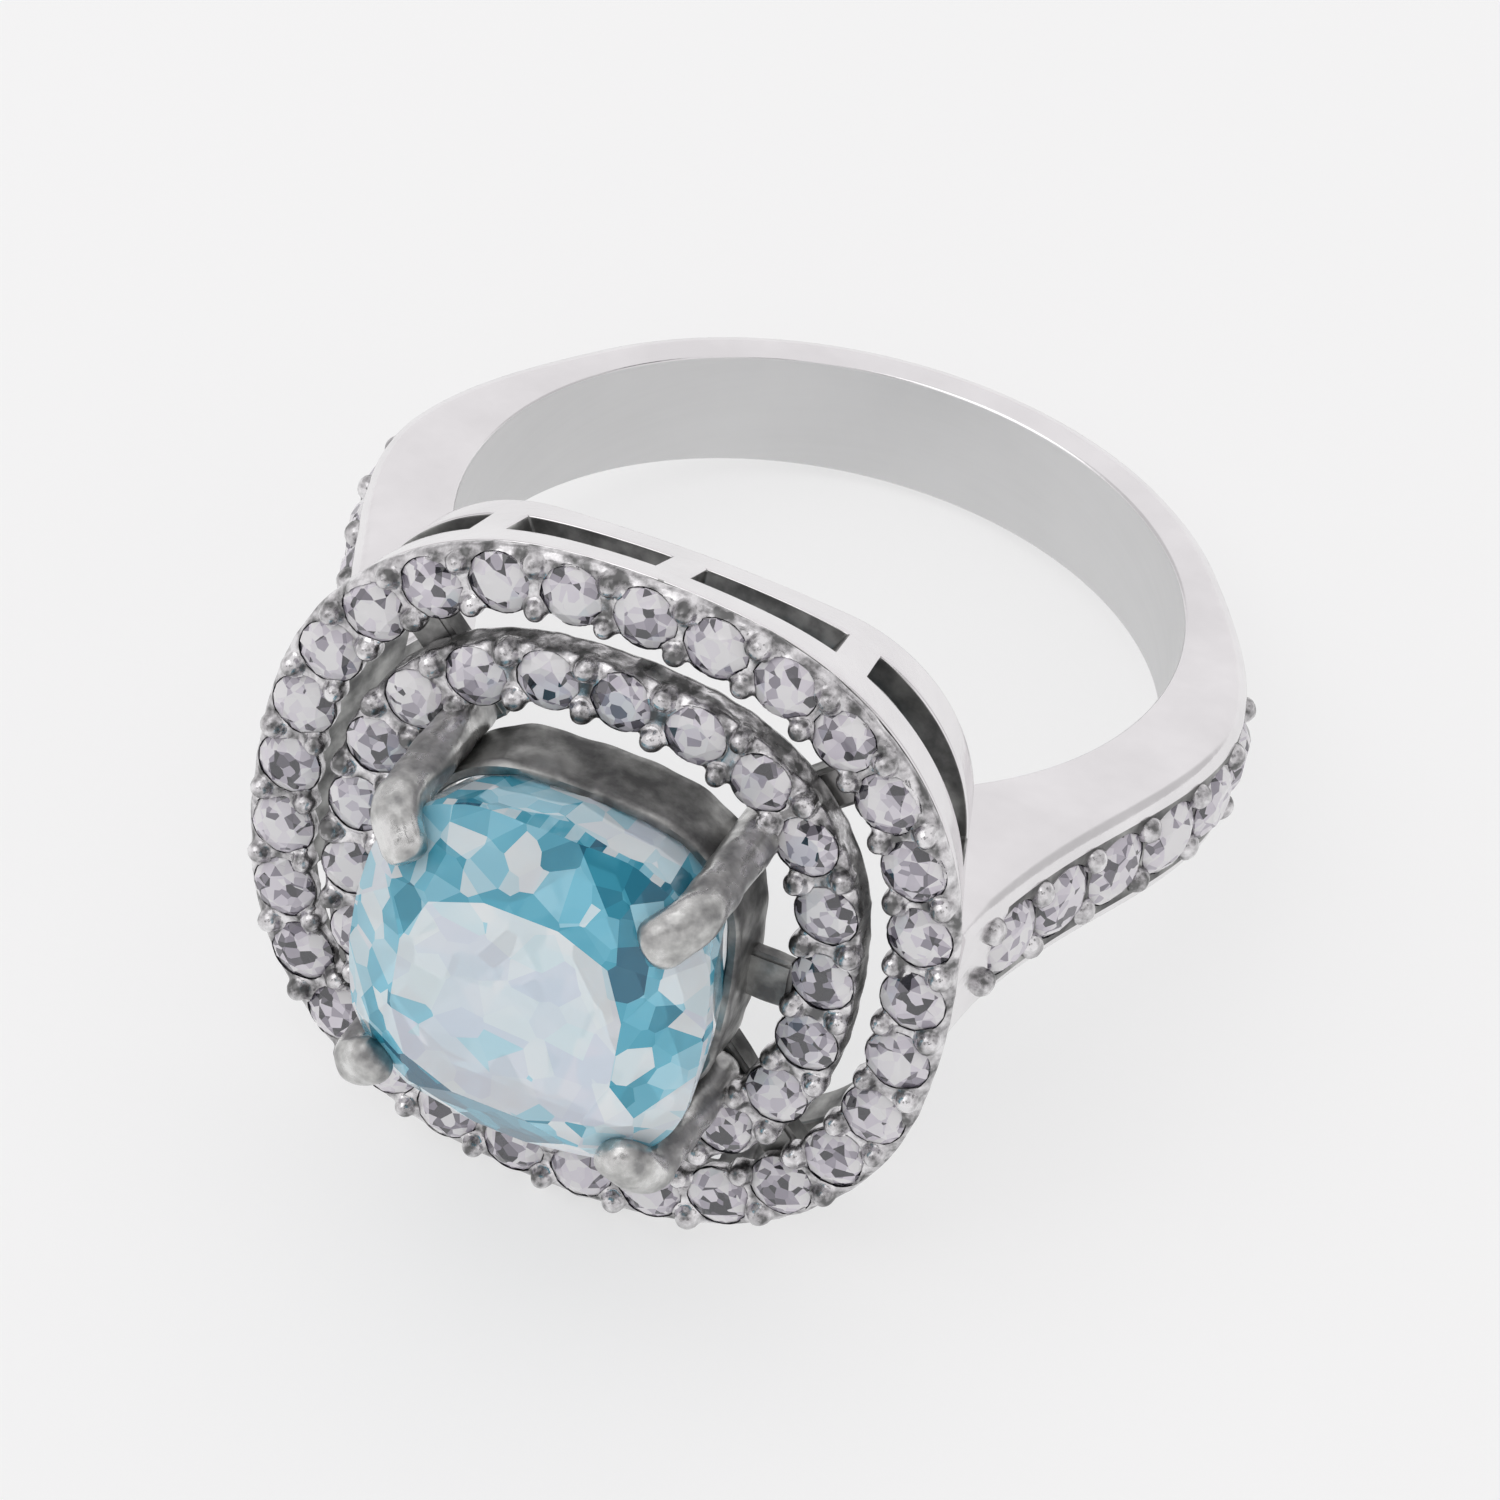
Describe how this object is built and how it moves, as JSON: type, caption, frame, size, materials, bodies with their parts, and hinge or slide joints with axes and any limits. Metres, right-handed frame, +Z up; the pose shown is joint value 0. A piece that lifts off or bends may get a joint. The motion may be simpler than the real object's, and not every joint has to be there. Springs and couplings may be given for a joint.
{
  "type": "cocktail ring",
  "caption": "Cocktail ring with a cushion-shaped sky-blue stone in four prongs inside two beaded halos, on a pierced gallery and stone-set shoulders.",
  "frame": {"origin": "centre of the footprint on the surface that the ring lies on", "axes": "+Z up from the surface, +X across the finger, -Y towards the head and +Y towards the back of the shank; the ring lies on the edge of its outer halo and the edge of its shank"},
  "size_m": [0.0222, 0.0276, 0.0162],
  "materials": {
    "polished_silver": "polished, rhodium white",
    "cast_silver": "as cast, slightly rough",
    "clear_stone": "faceted, clear",
    "blue_stone": "faceted, sky blue"
  },
  "bodies": {
    "root": {"basket_rail": "cast_silver", "bridge_left": "cast_silver", "bridge_right": "cast_silver", "centre_stone": "blue_stone", "gallery": "polished_silver", "halo_strut_1": "cast_silver", "halo_strut_2": "cast_silver", "halo_strut_3": "cast_silver", "halo_strut_4": "cast_silver", "inner_halo": "polished_silver", "inner_halo_stones_left": "clear_stone", "inner_halo_stones_lower": "clear_stone", "inner_halo_stones_right": "clear_stone", "inner_halo_stones_upper": "clear_stone", "outer_halo": "polished_silver", "outer_halo_stones_left": "clear_stone", "outer_halo_stones_lower": "clear_stone", "outer_halo_stones_right": "clear_stone", "outer_halo_stones_upper": "clear_stone", "prong_1": "polished_silver", "prong_2": "polished_silver", "prong_3": "polished_silver", "prong_4": "polished_silver", "shank": "polished_silver", "shoulder_stone_left_1": "clear_stone", "shoulder_stone_left_2": "clear_stone", "shoulder_stone_left_3": "clear_stone", "shoulder_stone_left_4": "clear_stone", "shoulder_stone_left_5": "clear_stone", "shoulder_stone_left_6": "clear_stone", "shoulder_stone_right_1": "clear_stone", "shoulder_stone_right_2": "clear_stone", "shoulder_stone_right_3": "clear_stone", "shoulder_stone_right_4": "clear_stone", "shoulder_stone_right_5": "clear_stone", "shoulder_stone_right_6": "clear_stone"}
  },
  "joints": []
}
